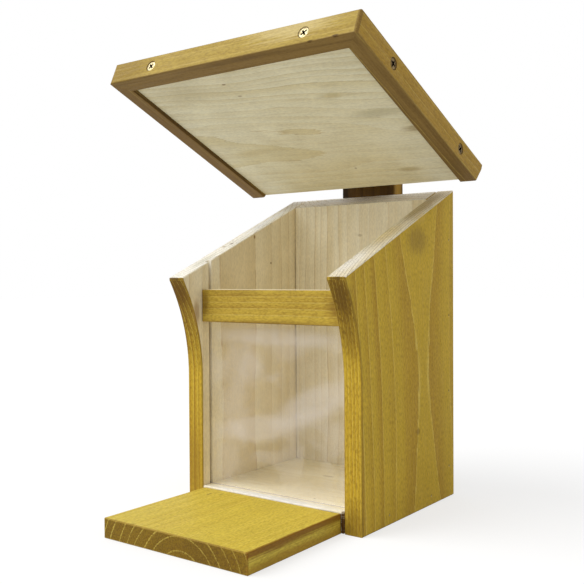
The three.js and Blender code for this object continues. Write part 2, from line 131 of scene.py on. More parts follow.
def seen_directly(tree):
    """1 for rays from the camera, a mirror or clear plastic, 0 for rays that carry light."""
    seen = add(tree, "ShaderNodeLightPath", {}, out="Is Camera Ray")
    rays = seen.node.outputs
    for way in ("Is Glossy Ray", "Is Transmission Ray"):
        seen = add(tree, MATH, {0: seen, 1: rays[way]}, operation="MAXIMUM")
    return seen


tent = bpy.data.worlds.new("White studio tent")
bpy.context.scene.world = tent
tent.use_nodes = True
tree = tent.node_tree
tree.nodes.clear()
soft_light = add(tree, "ShaderNodeBackground", {"Color": WHITE, "Strength": TENT_LEVEL})
white_wall = add(tree, "ShaderNodeBackground", {"Color": WHITE, "Strength": 1})
sky = add(tree, "ShaderNodeMixShader", {0: seen_directly(tree), 1: soft_light, 2: white_wall})
add(tree, "ShaderNodeOutputWorld", {"Surface": sky})
print("tent level", TENT_LEVEL)

# %% [markdown]
# ## Floor
# The floor is a sheet of white paper, which lights the box from below. What the camera sees of
# it is partly shaded paper and partly a steady glow, so that it is white where it lies open
# and still darkens softly under the box.

# %% White paper
def new_material(name):
    """An empty material and its node tree."""
    material = bpy.data.materials.new(name)
    material.use_nodes = True
    material.node_tree.nodes.clear()
    return material, material.node_tree


PAPER = linear("#CBCBCB")
SEEN_PAPER = linear("#A2A2A2")
SEEN_GLOW = 0.66

paper, tree = new_material("White drawing paper, matt")
lit_paper = add(tree, "ShaderNodeBsdfDiffuse", {"Color": PAPER})
shaded_paper = add(tree, "ShaderNodeBsdfDiffuse", {"Color": SEEN_PAPER})
steady_glow = add(tree, "ShaderNodeEmission", {"Strength": SEEN_GLOW})
seen_paper = add(tree, "ShaderNodeAddShader", {0: shaded_paper, 1: steady_glow})
surface = add(tree, "ShaderNodeMixShader", {0: seen_directly(tree), 1: lit_paper, 2: seen_paper})
add(tree, "ShaderNodeOutputMaterial", {"Surface": surface})
print(paper.name, "nodes:", len(tree.nodes))

# %% Sheet on the floor
FLOOR_REACH = 6.0  # m

bm = bmesh.new()
bmesh.ops.create_grid(bm, x_segments=1, y_segments=1, size=FLOOR_REACH)
floor_mesh = bpy.data.meshes.new("paper_floor")
bm.to_mesh(floor_mesh)
bm.free()
floor_mesh.materials.append(paper)
paper_floor = bpy.data.objects.new("paper_floor", floor_mesh)
bpy.context.scene.collection.objects.link(paper_floor)
print("floor", 2 * FLOOR_REACH, "m wide")

# %% [markdown]
# ## Growth rings
# A board is a slice of a trunk, so its lines are where the trunk's rings come to the surface.
# Painting lines on each face never joins up at the edges. Here the trunk itself is described
# once: its middle, the pith, the direction of the grain and the width of a ring. Every face of
# a board then cuts the same rings, as straight lines, as long figures or as arcs on the ends.

# %% What the ring group is given and what it tells
SOCKETS = (
    ("INPUT", "Vector", ("Place", "Facing", "Pith", "Grain")),
    ("INPUT", "Float", ("Ring width", "Wander", "Uneven", "Waist", "Ragged")),
    ("OUTPUT", "Float", ("Phase", "Before line", "Ring", "Spread")),
    ("OUTPUT", "Vector", ("Fibre place", "Fleck place")),
    ("OUTPUT", "Float", ("End grain",)),
)
rings = bpy.data.node_groups.new("Growth rings", "ShaderNodeTree")
for way, kind, names in SOCKETS:
    for name in names:
        rings.interface.new_socket(name, in_out=way, socket_type="NodeSocket" + kind)
    print(way, names)

# %% Height up the trunk and distance from its pith
given = add(rings, "NodeGroupInput", {}).node.outputs
from_pith = add(rings, VECTOR, {0: given["Place"], 1: given["Pith"]}, operation="SUBTRACT")
height = {0: from_pith, 1: given["Grain"]}
height = add(rings, VECTOR, height, out="Value", operation="DOT_PRODUCT")
up_trunk = add(rings, VECTOR, {0: given["Grain"], "Scale": height}, operation="SCALE")
across = add(rings, VECTOR, {0: from_pith, 1: up_trunk}, operation="SUBTRACT")
outward = add(rings, VECTOR, {0: across}, operation="NORMALIZE")
radius = add(rings, VECTOR, {0: across}, out="Value", operation="LENGTH")
print("place in the trunk, nodes:", len(rings.nodes))

# %% Fibres run along the grain, and the ends of the boards cut across them
FIBRE_ACROSS = 0.9  # mm, coarser than real fibres, which are too fine to show
FIBRE_ALONG = 28.0  # mm
FLECK_ACROSS = 1.1  # mm, coarser than real pores, which are too fine to show
FLECK_ALONG = 2.8  # mm

stretched = {}
for part, width, length in (
    ("fibre", FIBRE_ACROSS, FIBRE_ALONG),
    ("fleck", FLECK_ACROSS, FLECK_ALONG),
):
    thin = add(rings, VECTOR, {0: across, "Scale": 1 / width}, operation="SCALE")
    long = add(rings, VECTOR, {0: up_trunk, "Scale": 1 / length}, operation="SCALE")
    stretched[part] = add(rings, VECTOR, {0: thin, 1: long}, operation="ADD")
end_grain = {0: given["Facing"], 1: given["Grain"]}
end_grain = add(rings, VECTOR, end_grain, out="Value", operation="DOT_PRODUCT")
end_grain = add(rings, MATH, {0: end_grain}, operation="ABSOLUTE")
print("with fibres:", len(rings.nodes))

# %% The rings bend a little, the trunk has a waist and the lines fray along the fibres
USUAL_NOISE = (0.3, 0.7)  # most values of a noise lie between these
NOISE_MIDDLE = 0.5
FRAY_SCALE = 0.7  # of the fibres' own
WANDER_ACROSS = 40.0  # mm over which the rings bend, across the trunk
WANDER_ALONG = 150.0  # mm over which they bend along it
WAIST_SPAN = 100.0  # mm along the grain in which the trunk widens by its Waist

fray = add(rings, NOISE, {"Vector": stretched["fibre"], "Scale": FRAY_SCALE, "Detail": 1.0})
fray = add(rings, MATH, {0: fray, 1: NOISE_MIDDLE}, operation="SUBTRACT")
bend_across = add(rings, VECTOR, {0: across, "Scale": 1 / WANDER_ACROSS}, operation="SCALE")
bend_along = add(rings, VECTOR, {0: up_trunk, "Scale": 1 / WANDER_ALONG}, operation="SCALE")
bend_place = add(rings, VECTOR, {0: bend_across, 1: bend_along}, operation="ADD")
bend = add(rings, NOISE, {"Vector": bend_place, "Scale": 1.0, "Detail": 1.0})
bend = {"Value": bend, "From Min": USUAL_NOISE[0], "From Max": USUAL_NOISE[1], "To Min": -1.0}
bend = add(rings, RANGE, bend, clamp=False)
radius = add(rings, MATH, {0: bend, 1: given["Wander"], 2: radius}, operation="MULTIPLY_ADD")
rise = add(rings, MATH, {0: height, 1: WAIST_SPAN}, operation="DIVIDE")
rise = add(rings, MATH, {0: rise, 1: rise}, operation="MULTIPLY")
waist = add(rings, MATH, {0: rise, 1: given["Waist"]}, operation="MULTIPLY")
radius = add(rings, MATH, {0: radius, 1: waist}, operation="SUBTRACT")
radius = add(rings, MATH, {0: fray, 1: given["Ragged"], 2: radius}, operation="MULTIPLY_ADD")
print("with bends and frays:", len(rings.nodes))

# %% Which ring a point is in
SWELL_SCALE = 0.6  # how quickly wide and narrow rings take turns

count = add(rings, MATH, {0: radius, 1: given["Ring width"]}, operation="DIVIDE")
swell = {"W": count, "Scale": SWELL_SCALE, "Detail": 0.0}
swell = add(rings, NOISE, swell, noise_dimensions="1D")
swell = add(rings, MATH, {0: swell, 1: NOISE_MIDDLE}, operation="SUBTRACT")
count = add(rings, MATH, {0: swell, 1: given["Uneven"], 2: count}, operation="MULTIPLY_ADD")
phase = add(rings, MATH, {0: count}, operation="FRACT")
ring = add(rings, MATH, {0: count}, operation="FLOOR")
print("with the count of rings:", len(rings.nodes))

# %% How far the ring spreads on the face, and how far the point is from its line
LEAST_SLANT = 0.07  # keeps a line from spreading without end where a ring lies in the face

facing_out = {0: outward, 1: given["Facing"]}
facing_out = add(rings, VECTOR, facing_out, out="Value", operation="DOT_PRODUCT")
facing_out = add(rings, MATH, {0: facing_out, 1: facing_out}, operation="MULTIPLY")
slant = add(rings, MATH, {0: 1.0, 1: facing_out}, operation="SUBTRACT", use_clamp=True)
slant = add(rings, MATH, {0: slant}, operation="SQRT")
slant = add(rings, MATH, {0: slant, 1: LEAST_SLANT}, operation="MAXIMUM")
spread = add(rings, MATH, {0: given["Ring width"], 1: slant}, operation="DIVIDE")
before_line = add(rings, MATH, {0: 1.0, 1: phase}, operation="SUBTRACT")
before_line = add(rings, MATH, {0: before_line, 1: spread}, operation="MULTIPLY")

told = {
    "Phase": phase,
    "Before line": before_line,
    "Ring": ring,
    "Spread": spread,
    "Fibre place": stretched["fibre"],
    "Fleck place": stretched["fleck"],
    "End grain": end_grain,
}
add(rings, "NodeGroupOutput", told)
print("whole ring group:", len(rings.nodes))

# %% [markdown]
# ## Pine, planed, bare or stained honey
# Pine grows soft pale wood in spring and a thin hard line in late summer. Left bare it goes
# from pale to tan and ends in a darker line. A honey stain turns that round: it soaks into the
# soft wood just after a line and goes brown, stays golden further on, and hardly colours the
# hard line, which shows as a light hair. The ends of the fibres drink most and go brown. Both
# finishes are in one shader, and each face of a board carries a number, coats, that says how
# much stain it got: 0 is bare wood, 1 is golden, 2 is soaked. A second number, worn, is 1 on
# the narrow faces of the sanded edges and 0 elsewhere.

# %% Colours of the wood, laid over one another
PINE = {  # bare wood first, then what a honey stain makes of it
    "pale": "#FAF2D8",
    "tan": "#ECDCAE",
    "line": "#B4935C",
    "streak": "#DCC68A",
    "sawn": "#F1EDE0",
    "golden": "#CFAE32",
    "brown": "#AC8420",
    "end": "#6E4E0E",
    "hair": "#E0C85C",
    "soaked": "#90743F",
    "run": "#5E451E",
    "speck": "#785416",
    "edge": "#C4A544",
}


def laid_over(tree, ground, layers):
    """Lays colours over a ground in turn, each with a share that goes from 0 to 1."""
    for share, colour in layers:
        coat = {0: share, 6: ground, 7: colour}
        ground = add(tree, MIX, coat, out=MIXED, data_type="RGBA")
    return ground


print("wood colours:", len(PINE))

# %% Soft patterns that every finish shares
WEAKEST_RING = 0.35  # some rings show less than others
BLOTCH = 24.0  # mm across one soft patch of the stain
STREAK_SCALE = 0.22  # of the fibres' own, for the broader streaks that run beside them
STREAK_NOISE = (0.42, 0.68)
GRIT_NOISE = (0.34, 0.66)


def soft_patterns(tree, place, cut, contrast):
    """Numbers from 0 to 1: the ring's strength, blotches, fibres, streaks beside them and grit."""
    strength = add(tree, "ShaderNodeTexWhiteNoise", {"W": cut["Ring"]}, noise_dimensions="1D")
    strength = {"Value": strength, "To Min": WEAKEST_RING * contrast, "To Max": contrast}
    soft = {"strength": add(tree, RANGE, strength)}
    for pattern, at, scale, detail, (low, high) in (
        ("blotch", place, 1 / BLOTCH, 2.0, USUAL_NOISE),
        ("fibre", cut["Fibre place"], 1.0, 2.0, USUAL_NOISE),
        ("streak", cut["Fibre place"], STREAK_SCALE, 3.0, STREAK_NOISE),
        ("grit", cut["Fleck place"], 1.0, 3.0, GRIT_NOISE),
    ):
        noise = add(tree, NOISE, {"Vector": at, "Scale": scale, "Detail": detail})
        soft[pattern] = add(tree, RANGE, {"Value": noise, "From Min": low, "From Max": high})
    return soft


print("blotches of", BLOTCH, "mm")

# %% Bare wood
STREAK_BOOST = 2  # streaks show only inside blotches, which take about half of them away
SAWN = {"From Min": 0.5, "From Max": 0.9, "To Max": 0.8}  # share by how far a face is an end
LINE = {"From Max": 0.8, "To Min": 0.7, "To Max": 0.0}  # share by how far its line is, in mm


def bare_finish(tree, cut, soft, paint, streaks):
    """Pale to tan in each ring, streaks across the rings and a fine dark line at a ring's end."""
    tan = add(tree, RANGE, {"Value": cut["Phase"]}, interpolation_type="SMOOTHSTEP")
    tan = add(tree, MATH, {0: tan, 1: soft["strength"]}, operation="MULTIPLY")
    faint = add(tree, MATH, {0: soft["streak"], 1: soft["blotch"]}, operation="MULTIPLY")
    faint = add(tree, MATH, {0: faint, 1: STREAK_BOOST * streaks}, operation="MULTIPLY")
    sawn = add(tree, RANGE, {"Value": cut["End grain"], **SAWN})
    line = add(tree, RANGE, {"Value": cut["Before line"], **LINE})
    strong = {0: cut["End grain"], 1: soft["strength"], 2: soft["strength"]}
    strong = add(tree, MATH, strong, operation="MULTIPLY_ADD", use_clamp=True)
    line = add(tree, MATH, {0: line, 1: strong}, operation="MULTIPLY")
    layers = (
        (tan, paint["tan"]),
        (faint, paint["streak"]),
        (sawn, paint["sawn"]),
        (line, paint["line"]),
    )
    return laid_over(tree, paint["pale"], layers)


print("dark line at most", LINE["From Max"], "mm wide")

# %% How the stain sinks in
BROWN = {"From Max": 0.75, "To Min": 1.0, "To Max": 0.0}  # share by how far into a ring
END = {"From Min": 0.02, "From Max": 0.5, "To Max": 0.92}  # share by how far a face is an end
GRIT_SHARE = 0.3
RUN_SHARE = 0.5


def stain_body(tree, cut, soft, paint, streaks, coats):
    """Brown after a line and golden further on, darker where soaked and on the ends."""
    drunk = {"Value": cut["Phase"], **BROWN}
    drunk = add(tree, RANGE, drunk, interpolation_type="SMOOTHSTEP")
    drunk = add(tree, MATH, {0: drunk, 1: soft["strength"]}, operation="MULTIPLY")
    drunk = add(tree, MATH, {0: soft["streak"], 1: streaks, 2: drunk}, operation="MULTIPLY_ADD")
    drunk = {0: soft["grit"], 1: GRIT_SHARE, 2: drunk}
    drunk = add(tree, MATH, drunk, operation="MULTIPLY_ADD", use_clamp=True)
    soaked = add(tree, RANGE, {"Value": coats, "From Min": 1.0, "From Max": 2.0})
    run = add(tree, MATH, {0: soaked, 1: soft["streak"]}, operation="MULTIPLY")
    run = add(tree, MATH, {0: run, 1: RUN_SHARE}, operation="MULTIPLY")
    end = add(tree, RANGE, {"Value": cut["End grain"], **END})
    layers = (
        (drunk, paint["brown"]),
        (soaked, paint["soaked"]),
        (run, paint["run"]),
        (end, paint["end"]),
    )
    return laid_over(tree, paint["golden"], layers)


print("brown until", BROWN["From Max"], "of a ring")

# %% Light hairs and dark specks over the stain
HAIR_WIDTH = 1.0  # mm at most
HAIR_OF_RING = 0.17  # share of what a ring takes up on the face
HAIR_SHARE = 0.9
FAINTEST_HAIR = 0.6
PORES = {"From Max": 0.3, "To Min": 0.12, "To Max": 0.7}  # share by how far a face is an end
SPECK_FROM = 0.5


def stained_finish(tree, cut, soft, wood, paint):
    """The hard line of each ring stays light, and stain dries dark in the pores."""
    width = add(tree, MATH, {0: cut["Spread"], 1: HAIR_OF_RING}, operation="MULTIPLY")
    width = add(tree, MATH, {0: width, 1: HAIR_WIDTH}, operation="MINIMUM")
    hair = {"Value": cut["Before line"], "From Max": width, "To Min": HAIR_SHARE, "To Max": 0.0}
    hair = add(tree, RANGE, hair)
    uneven = add(tree, RANGE, {"Value": soft["blotch"], "To Min": FAINTEST_HAIR, "To Max": 1.0})
    hair = add(tree, MATH, {0: hair, 1: uneven}, operation="MULTIPLY")
    pores = add(tree, RANGE, {"Value": cut["End grain"], **PORES})
    specks = add(tree, RANGE, {"Value": soft["grit"], "From Min": SPECK_FROM})
    specks = add(tree, MATH, {0: specks, 1: pores}, operation="MULTIPLY")
    return laid_over(tree, wood, ((hair, paint["hair"]), (specks, paint["speck"])))


print("light hair at most", HAIR_WIDTH, "mm wide")

# %% Spots with a soft, frayed rim
def spot_share(tree, place, at, reach, share, fray, rim, tilt=0.0):
    """The share in the heart of an ellipsoid, given in mm, that fades to 0 across its rim."""
    near = {"Vector": place, "Location": at, "Scale": reach, "Rotation": (0, tilt, 0)}
    near = add(tree, MAPPING, near, vector_type="TEXTURE")
    near = add(tree, VECTOR, {0: near}, out="Value", operation="LENGTH")
    pattern, pull = fray
    near = add(tree, MATH, {0: pattern, 1: pull, 2: near}, operation="MULTIPLY_ADD")
    ends, full = rim
    near = {"Value": near, "From Min": ends, "From Max": full, "To Max": share}
    return add(tree, RANGE, near, interpolation_type="SMOOTHSTEP")


MARK_FRAY = 0.4  # how far the fibres pull in the rim of a mark
MARK_RIM = (1.15, 0.5)  # shares of a mark's reach, where it ends and where it is full


def marked(tree, place, soft, wood, marks):
    """Knots, resin and smears: each has a place and a reach in mm, a colour and a share."""
    fray = (soft["fibre"], MARK_FRAY)
    for at, reach, colour, share in marks:
        share = spot_share(tree, place, at, reach, share, fray, MARK_RIM)
        wood = laid_over(tree, wood, [(share, linear(colour))])
    return wood


print("a mark is full within", MARK_RIM[1], "of its reach")

# %% Light and dark across a face
SHADE_DEPTH = 0.13  # how far the fine light and dark goes either way
PORE_DEPTH = 0.32  # the same on the ends of the boards
PORES_OPEN = {"From Min": 0.4, "From Max": 0.9}  # by how far a face is an end
GRIT_WEIGHT = 2.0  # blotches and fibres weigh 1 each
ALL_WEIGHTS = GRIT_WEIGHT + 2.0


def shaded(tree, cut, soft, wood):
    """Darkens the grit, blotches and fibres a little and lightens what lies between."""
    depth = {"Value": cut["End grain"], **PORES_OPEN, "To Min": SHADE_DEPTH, "To Max": PORE_DEPTH}
    depth = add(tree, RANGE, depth)
    shade = {0: soft["grit"], 1: GRIT_WEIGHT, 2: soft["blotch"]}
    shade = add(tree, MATH, shade, operation="MULTIPLY_ADD")
    shade = add(tree, MATH, {0: shade, 1: soft["fibre"]}, operation="ADD")
    shade = {"Value": shade, "From Max": ALL_WEIGHTS, "To Min": 1.0, "To Max": -1.0}
    shade = add(tree, RANGE, shade)
    shade = add(tree, MATH, {0: shade, 1: depth, 2: 1.0}, operation="MULTIPLY_ADD")
    return add(tree, VECTOR, {0: wood, "Scale": shade}, operation="SCALE")


print("light and dark go", SHADE_DEPTH, "either way, on ends", PORE_DEPTH)

# %% Matt surface with a trace of its fibres
WOOD_ROUGHNESS = {"To Min": 0.5, "To Max": 0.7}
FIBRE_STRENGTH = 0.5
FIBRE_DEPTH = 0.12 * MM
MATT_STAIN = 0.2  # specular level of a water stain that leaves no film
WOOD_IOR = 1.5


def matt_surface(tree, soft, wood):
    """Ends the material: a planed face is matt, and its fibres stand up a little."""
    rough = add(tree, RANGE, {"Value": soft["fibre"], **WOOD_ROUGHNESS})
    relief = add(tree, MATH, {0: soft["fibre"], 1: soft["grit"]}, operation="ADD")
    relief = {"Height": relief, "Strength": FIBRE_STRENGTH, "Distance": FIBRE_DEPTH}
    relief = add(tree, "ShaderNodeBump", relief)
    surface = {"Base Color": wood, "Roughness": rough, "Normal": relief}
    surface |= {"IOR": WOOD_IOR, "Specular IOR Level": MATT_STAIN}
    surface = add(tree, PRINCIPLED, surface)
    add(tree, "ShaderNodeOutputMaterial", {"Surface": surface})


print("fibres stand up", FIBRE_DEPTH / MM, "mm")

# %% [markdown]
# ## One wood for every board
# Each board gets its own material, because it was cut from its own place in a trunk. Its marks
# and its pith are given in millimetres of the seat that the board was made in: the box's own,
# or the lid's, which is tilted with the lid and has its origin on the hinge pin.

# %% Seats of the boards
LID_PIN = Vector((0, 66.62, 262.79)) * MM
LID_TURN = math.radians(-23.25)
BOX_SEAT = {"Location": (0, 0, 0), "Rotation": (0, 0, 0)}
LID_SEAT = {"Location": LID_PIN, "Rotation": (LID_TURN, 0, 0)}
print("hinge pin at", [round(v / MM, 1) for v in LID_PIN], "mm")

# %% Timber
USUAL_CUT = {"Ring width": 4.6, "Wander": 1.0, "Uneven": 0.5, "Ragged": 0.9}  # mm, but Uneven
WORN_SHARE = 0.7


def timber(name, trunk, paint=PINE, contrast=1.0, streaks=0.25, seat=BOX_SEAT, marks=()):
    """A board's wood. The trunk says where in it the board was cut, in mm of the board's seat."""
    material, tree = new_material(name)
    where = add(tree, "ShaderNodeTexCoord", {}).node.outputs
    in_mm = {"Vector": where["Object"], "Scale": (MM, MM, MM), **seat}
    place = add(tree, MAPPING, in_mm, vector_type="TEXTURE")
    turned = {"Vector": where["Normal"], "Rotation": seat["Rotation"]}
    facing = add(tree, MAPPING, turned, vector_type="TEXTURE")
    cut = {**USUAL_CUT, **trunk, "Place": place, "Facing": facing}
    cut["Grain"] = Vector(trunk["Grain"]).normalized()
    cut = add(tree, "ShaderNodeGroup", cut, node_tree=rings).node.outputs
    paint = {part: linear(colour) for part, colour in {**PINE, **paint}.items()}
    soft = soft_patterns(tree, place, cut, contrast)

    coats = add(tree, ATTRIBUTE, {}, out="Fac", attribute_name="coats")
    stained = add(tree, MATH, {0: coats, 1: 1.0}, operation="MINIMUM")
    bare_wood = bare_finish(tree, cut, soft, paint, streaks)
    stained_wood = stain_body(tree, cut, soft, paint, streaks, coats)
    stained_wood = stained_finish(tree, cut, soft, stained_wood, paint)
    worn = add(tree, ATTRIBUTE, {}, out="Fac", attribute_name="worn")
    worn = add(tree, MATH, {0: worn, 1: stained}, operation="MULTIPLY")
    worn = add(tree, MATH, {0: worn, 1: WORN_SHARE}, operation="MULTIPLY")
    wood = laid_over(tree, bare_wood, ((stained, stained_wood), (worn, paint["edge"])))
    wood = marked(tree, place, soft, wood, marks)
    matt_surface(tree, soft, shaded(tree, cut, soft, wood))
    print(name, "nodes:", len(tree.nodes))
    return material


# %% [markdown]
# ## Boards
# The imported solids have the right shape, down to the chamfers of their sanded edges. A copy of
# each is welded, its flat faces are joined up again, and its chamfers are rolled over with a
# small bevel, so that an edge catches the light as sanded wood does. Smooth shading with
# weighted normals then keeps the flat faces flat and the hollow curves of the sides even.

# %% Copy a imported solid
WELD = 0.002 * MM
FLAT = math.radians(0.6)


def welded_copy(node):
    """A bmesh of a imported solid, with its corners joined and its flat faces whole."""
    bm = bmesh.new()
    bm.from_mesh(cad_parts[node].data)
    bmesh.ops.remove_doubles(bm, verts=bm.verts, dist=WELD)
    bmesh.ops.dissolve_limit(bm, angle_limit=FLAT, verts=bm.verts, edges=bm.edges)
    return bm


print("corners closer than", WELD / MM, "mm are welded")

# %% Roll over the long edges
SHORTEST_ARRIS = 3 * MM
ROLL_STEPS = 2


def roll_over(bm, edges, roll):
    """Rounds edges with a small bevel and leaves the shortest ones as they are."""
    bmesh.ops.bevel(
        bm,
        geom=[e for e in edges if e.calc_length() > SHORTEST_ARRIS],
        offset=roll,
        offset_type="OFFSET",
        affect="EDGES",
        segments=ROLL_STEPS,
        profile=0.5,
        material=-1,
        clamp_overlap=True,
    )


print("shortest edge that is rolled over:", SHORTEST_ARRIS / MM, "mm")

# %% Make a piece of a finished bmesh
CORNER = math.radians(50)  # anything sharper stays a crisp edge


def new_piece(node, name, bm, material, body, slot, flat_sided=True):
    """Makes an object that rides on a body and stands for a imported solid."""
    for face in bm.faces:
        face.smooth = True
    for edge in bm.edges:
        edge.smooth = edge.calc_face_angle(0) < CORNER
    mesh = bpy.data.meshes.new(name)
    bm.to_mesh(mesh)
    bm.free()
    mesh.materials.append(material)
    piece = bpy.data.objects.new(name, mesh)
    bpy.context.scene.collection.objects.link(piece)
    if flat_sided:
        piece.modifiers.new("flat faces stay flat", "WEIGHTED_NORMAL").keep_sharp = True
    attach(piece, body)
    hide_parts(node)
    print(name, "faces:", len(mesh.polygons))


# %% Finish a board
CHAMFER_ANGLES = (math.radians(25), math.radians(60))
ARRIS_ROLL = 0.3 * MM
WIDEST_EDGE_FACE = 1.6 * MM


def board(node, name, wood, body, coats_on, slot, shape=None):
    """Makes the finished board that stands for a packed one."""
    bm = welded_copy(node)
    if shape:
        shape(bm)
    low, high = CHAMFER_ANGLES
    roll_over(bm, [e for e in bm.edges if low < e.calc_face_angle(0) < high], ARRIS_ROLL)
    coats = bm.faces.layers.float.new("coats")
    worn = bm.faces.layers.float.new("worn")
    for face in bm.faces:
        face[coats] = coats_on(face.normal, face.calc_center_bounds() / MM)
        width = 2 * face.calc_area() / face.calc_perimeter()
        face[worn] = float(width < WIDEST_EDGE_FACE)
    new_piece(node, name, bm, wood, body, slot)


print("a face narrower than", WIDEST_EDGE_FACE / MM, "mm is a sanded edge")

# %% Directions that tell the faces of a board apart
UP = Vector((0, 0, 1))
FRONT = Vector((0, -1, 0))
RIGHT = Vector((1, 0, 0))
ROOF_SLOPE = math.radians(23.25)
ROOF_UP = Matrix.Rotation(ROOF_SLOPE, 3, "X") @ UP
LID_UP = Matrix.Rotation(LID_TURN, 3, "X") @ UP
LID_BACK = Matrix.Rotation(LID_TURN, 3, "X") @ -FRONT
MOSTLY = 0.5  # least share of a face's direction that counts as looking that way
SQUARELY = 0.8


def all_stained(normal, place):
    return 1.0


def all_bare(normal, place):
    return 0.0


print("roof looks", [round(v, 2) for v in ROOF_UP], "lid looks", [round(v, 2) for v in LID_UP])

# %% [markdown]
# ## Side panels
# Both sides are stained outside and on their front edges, and bare inside and on the sawn top.
# The right one shows a long hourglass figure: its face nearly touches a ring, so a small change
# in the trunk's width moves the line far across the board.

# %% Where a side panel is stained
GROOVE = (-62.1, -58.6)  # mm, Y of the window's groove
REAR_CHAMFER = 0.3  # the inner chamfer at the wall looks further back than this
NOSE = 0.6  # the nose looks further to the front than this


def side_coats(inner):
    """Inside, on the sawn top and in the groove there is no stain, but the nose has some."""

    def coats_on(normal, place):
        in_groove = GROOVE[0] < place.y < GROOVE[1]
        inside = normal.dot(inner) > MOSTLY and abs(normal.dot(FRONT)) < REAR_CHAMFER
        on_top = normal.dot(ROOF_UP) > MOSTLY and normal.dot(FRONT) < NOSE
        return 0.0 if inside or on_top or in_groove else 1.0

    return coats_on


print("window groove", round(GROOVE[1] - GROOVE[0], 1), "mm wide")

# %% Right side
SIDE_EDGE = "#A08230"
RIGHT_SIDE_TRUNK = {
    "Pith": (432, 18.5, 91),
    "Grain": (0, -0.0677, 1),
    "Ring width": 2.688,
    "Wander": 0.12,
    "Uneven": 0.0,
    "Waist": 0.7,
    "Ragged": 0.16,
}
RIGHT_SIDE_MARKS = (
    ((70, -72, 187), (9, 50, 13), "#FFFFFF", 0.4),  # painted light: the sawn top lighter in front, where the light falls on it
    ((80, 9.5, 60), (6, 5, 3.5), "#7C5C1E", 0.6),  # trace of a knot
    ((80, 8, 203), (6, 22, 15), "#7A5E24", 0.45),  # smudge under the lid
    ((80, 14, 222), (6, 12, 9), "#D4B455", 0.4),
    ((72, 70, 110), (14, 3, 150), "#8A6A28", 0.6),  # run of stain down the rear edge
    ((73, -86, 158), (10, 18, 22), "#66480F", 0.75),  # the tip drank most stain; with the thin line at its top it is also painted shade where it faces down
    ((73, -77, 130), (10, 9, 36), "#7A5C18", 0.5),
    ((73, -90.5, 175), (10, 2, 1.6), "#5E440F", 0.9),
    ((73, -70, 6), (10, 5, 22), "#7A5A18", 0.5),
    ((70, -18, 207), (10, 32, 24), "#C8A82B", 0.4),
    ((70, 34, 230), (10, 45, 38), "#9C7D00", 0.64),  # painted shade: the sawn top darker towards the wall, under the lid
)
RIGHT_SIDE_PAINT = {"line": "#7A5420", "hair": "#E6CC66", "sawn": "#E8DDC2", "edge": SIDE_EDGE}
right_side_wood = timber(
    "Pine, planed, honey stain: right side",
    RIGHT_SIDE_TRUNK,
    RIGHT_SIDE_PAINT,
    contrast=0.65,
    streaks=0.12,
    marks=RIGHT_SIDE_MARKS,
)
board("side_right", "right_side", right_side_wood, "box", side_coats(-RIGHT), "stained_pine")

# %% Left side
LEFT_SIDE_TRUNK = {
    "Pith": (-227, -26, 100),
    "Grain": (0, 0, 1),
    "Ring width": 4.3,
    "Wander": 0.35,
    "Uneven": 0.0,
    "Ragged": 0.5,
}
LEFT_SIDE_MARKS = (
    ((-67, -60.3, 190), (4, 3, 34), "#FFFAEC", 1.0),  # freshly cut groove, painted near white as light against the shade inside it
    ((-64.5, -76, 149), (4, 5, 14), "#A07C46", 0.6),  # darker beside the rail
    ((-65, -4.6, 209.8), (3, 1.6, 2.2), "#96703F", 0.9),  # resin
    ((-65, 17.4, 188.3), (2, 1.4, 1.4), "#7C5C38", 0.8),
    ((-72, -26, 203.8), (2.5, 2, 1.5), "#6E5538", 0.8),
    ((-75, -32, 201.2), (2.5, 2.5, 1.5), "#A08A5E", 0.7),
    ((-74, -88, 162), (10, 14, 17), "#6C4A04", 0.7),  # the tip drank most stain; with the thin line at its top it is also painted shade where it faces down
    ((-73, -90.5, 175), (10, 2, 1.6), "#5E440F", 0.9),
    ((-72, 70, 110), (14, 3, 150), "#8A6A28", 0.6),  # run of stain down the rear edge
    ((-79.5, -80, 140), (2, 20, 60), "#66480F", 0.5),
    ((-73, -73, 30), (12, 8, 70), "#987420", 0.6),
    ((-72.5, 22, 224), (6, 50, 36), "#FFFFFF", 0.7),  # painted light: the sawn top near white, against the lid's shade on it
    ((-72.5, -60, 190), (6, 30, 13), "#D8D4C0", 0.6),
)
LEFT_SIDE_PAINT = {
    "pale": "#F5EACD",
    "tan": "#E5D4AD",
    "line": "#BA9664",
    # the sawn top is painted near white, lighter than the wood, as painted light against the lid's
    # shade
    "sawn": "#FAF9F2",
    "edge": SIDE_EDGE,
}
left_side_wood = timber(
    "Pine, planed, honey stain: left side",
    LEFT_SIDE_TRUNK,
    LEFT_SIDE_PAINT,
    streaks=0.12,
    marks=LEFT_SIDE_MARKS,
)
board("side_left", "left_side", left_side_wood, "box", side_coats(RIGHT), "stained_pine")

# %% [markdown]
# ## Back, floor and feeding board
# The back's inner face and the floor are bare. The feeding board is one slab stained all round,
# with its grain running to the front, so its front edge shows the rings as arcs.

# %% Back
BACK_TRUNK = {"Pith": (70, 218, 100), "Grain": (0.01, 0, 1), "Ring width": 4.4}
BACK_MARKS = (
    ((-26, 61, 241), (44, 9, 6), "#FFFFFF", 0.6),  # sawn top, painted lighter
    ((3, 52, 211), (3.5, 4, 1.6), "#A08A5A", 0.4),
    ((-65, 52, 120), (1.6, 1.6, 150), "#6B5333", 0.7),  # painted shade in the corner
)
BACK_PAINT = {"pale": "#F6EDD3", "tan": "#E5D5AC"}
back_wood = timber(
    "Pine, planed: back",
    BACK_TRUNK,
    BACK_PAINT,
    contrast=0.8,
    streaks=0.15,
    marks=BACK_MARKS,
)


def back_coats(normal, place):
    """Bare inside and on the sawn top."""
    return 0.0 if normal.dot(FRONT) > MOSTLY or normal.dot(ROOF_UP) > SQUARELY else 1.0


board("back_panel", "back", back_wood, "box", back_coats, "stained_pine")
